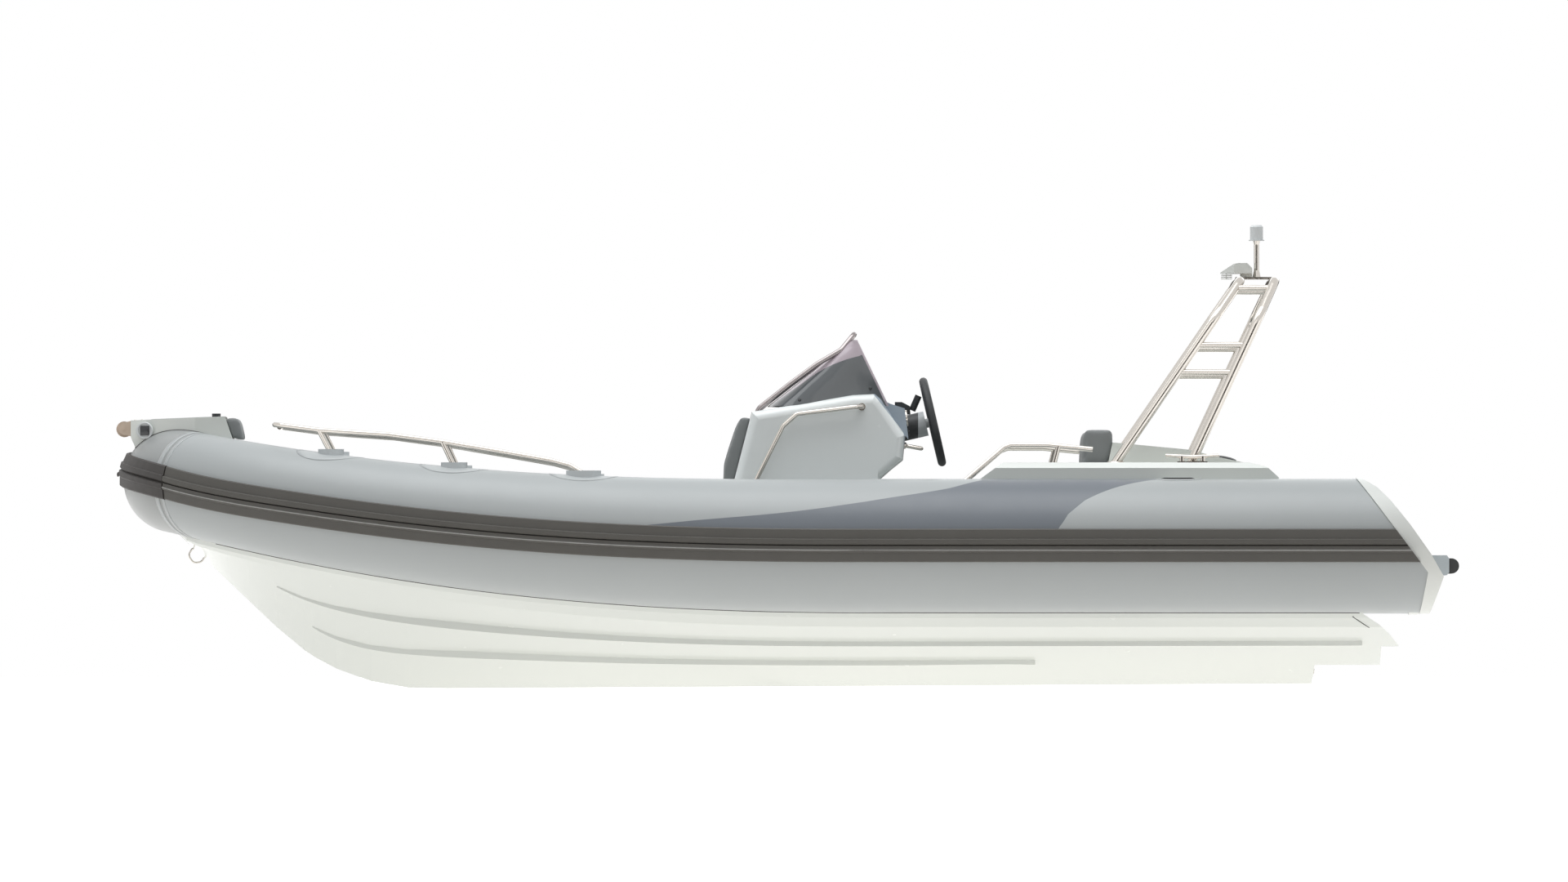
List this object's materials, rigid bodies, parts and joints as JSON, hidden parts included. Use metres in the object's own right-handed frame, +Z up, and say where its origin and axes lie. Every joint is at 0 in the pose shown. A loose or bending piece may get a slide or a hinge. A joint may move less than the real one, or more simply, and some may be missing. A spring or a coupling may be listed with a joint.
{
  "type": "rigid inflatable boat",
  "caption": "Rigid inflatable boat with V hull, inflatable collar, helm console, bench, arch, bow rails and boarding ladder.",
  "frame": {"origin": "on the centre line at the loaded waterline, 280 mm above the lowest point of the keel, 2.9 m aft of the nose", "axes": "+X to the bow, +Y to port, +Z up"},
  "size_m": [5.798, 2.3618, 2.0058],
  "materials": {
    "tube_fabric": "light grey coated fabric",
    "bow_fabric": "mid grey coated fabric",
    "cap_white": "white moulded plastic",
    "rubber_dark": "dark ribbed rubber",
    "guard_rubber": "dark rubber guard",
    "gelcoat": "white gelcoat",
    "deck_gelcoat": "white gelcoat with non-slip",
    "steel": "polished stainless steel",
    "cushion": "grey marine vinyl",
    "black_plastic": "black plastic",
    "acrylic": "tinted acrylic",
    "lamp_lens": "lamp lens",
    "roller_rubber": "beige rubber",
    "pad_grey": "grey moulded pads",
    "wheel_black": "black grip",
    "marine_ply": "painted laminated plywood"
  },
  "bodies": {
    "boat": {"hull": "gelcoat", "deck": "deck_gelcoat", "transom": "marine_ply", "tube_port": "tube_fabric", "tube_starboard": "tube_fabric", "tube_bow": "bow_fabric", "end_caps": "cap_white", "rub_rails": "rubber_dark", "nose_guard": "guard_rubber", "bow_platform": "gelcoat", "roller_carrier": "steel", "nav_lights": "lamp_lens", "bow_cleat": "black_plastic", "bow_backrest": "cushion", "bow_eye": "steel", "bow_rails": "steel", "rail_pads": "pad_grey", "bow_locker": "gelcoat", "console": "gelcoat", "console_dash": "black_plastic", "windshield": "acrylic", "screen_rail": "steel", "console_rails": "steel", "helm_unit": "black_plastic", "throttle_control": "black_plastic", "front_seat": "gelcoat", "front_backrest": "cushion", "stern_bench": "gelcoat", "stern_backrest": "cushion", "stern_rails": "steel", "arch": "steel", "deck_light": "cap_white", "light_pole": "steel", "all_round_light": "lamp_lens", "stern_cleats": "steel", "swim_steps": "gelcoat", "ladder_bracket": "steel"},
    "steering_wheel": {"steering_wheel": "wheel_black"},
    "bow_roller": {"bow_roller": "roller_rubber"},
    "bow_locker_lid": {"bow_locker_lid": "deck_gelcoat", "bow_cushion": "cushion"},
    "front_seat_lid": {"front_seat_lid": "deck_gelcoat", "front_seat_cushion": "cushion"},
    "bench_lid": {"bench_lid": "deck_gelcoat", "bench_cushion": "cushion"},
    "boarding_ladder": {"boarding_ladder": "steel"}
  },
  "joints": [
    {"name": "steering", "type": "hinge", "parent": "boat", "child": "steering_wheel", "pos_m": [-0.633, 0, 0.874], "axis": [-0.9744, 0, 0.225], "range_deg": [-540, 540]},
    {"name": "roller_spin", "type": "hinge", "parent": "boat", "child": "bow_roller", "pos_m": [2.867, 0, 0.842], "axis": [0, 1, 0], "continuous": true},
    {"name": "bow_locker_open", "type": "hinge", "parent": "boat", "child": "bow_locker_lid", "pos_m": [1.34, 0, 0.47], "axis": [0, -1, 0], "range_deg": [0, 90]},
    {"name": "front_seat_open", "type": "hinge", "parent": "boat", "child": "front_seat_lid", "pos_m": [0.71, 0, 0.43], "axis": [0, 1, 0], "range_deg": [0, 90]},
    {"name": "bench_open", "type": "hinge", "parent": "boat", "child": "bench_lid", "pos_m": [-0.82, 0, 0.43], "axis": [0, 1, 0], "range_deg": [0, 90]},
    {"name": "ladder_fold", "type": "hinge", "parent": "boat", "child": "boarding_ladder", "pos_m": [-2.836, 0, 0.25], "axis": [0, -1, 0], "range_deg": [0, 255]}
  ]
}
